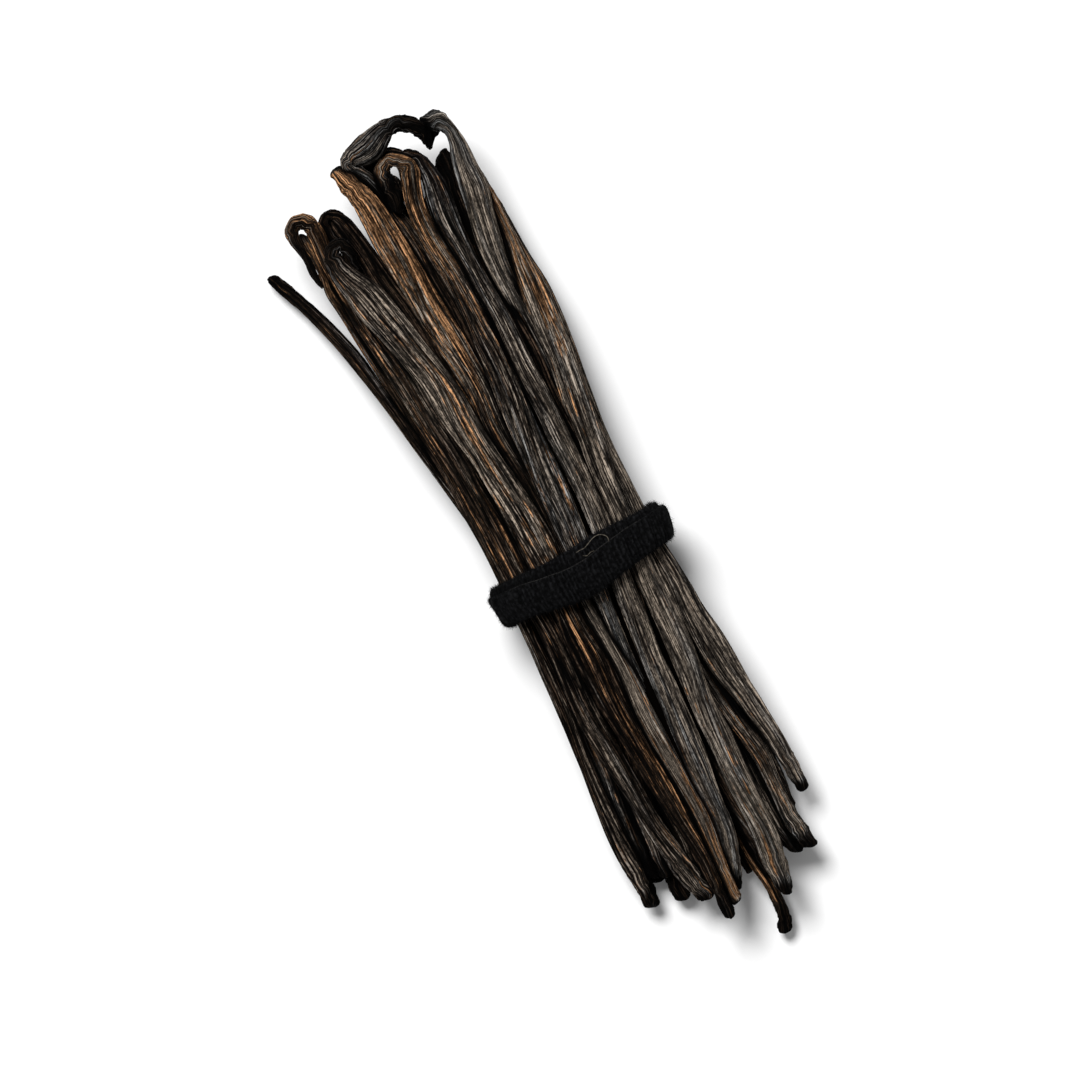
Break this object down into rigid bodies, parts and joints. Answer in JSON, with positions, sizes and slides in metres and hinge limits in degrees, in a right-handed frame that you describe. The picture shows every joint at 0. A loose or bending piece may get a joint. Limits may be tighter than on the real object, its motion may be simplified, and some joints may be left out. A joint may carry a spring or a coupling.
{
  "type": "bundle of vanilla pods",
  "caption": "Bundle of long, dark, wrinkled dried vanilla pods with curled stem ends, held at the middle by a soft black band wound round it, lying on its side.",
  "frame": {"origin": "middle of the underside of the whole bundle as it lies, on the table", "axes": "+Y along the bundle towards the curled stem ends, +Z up from the table, +X to the right seen from above with +Y up"},
  "size_m": [0.0508, 0.1822, 0.0259],
  "materials": {
    "pods": "dried dark brown to black pods, wrinkled lengthwise, with a dull oily sheen and rust-brown streaks",
    "tie": "soft black brushed ribbon, matt, with a short nap"
  },
  "bodies": {
    "root": {"pods": "pods", "tie": "tie"}
  },
  "joints": []
}
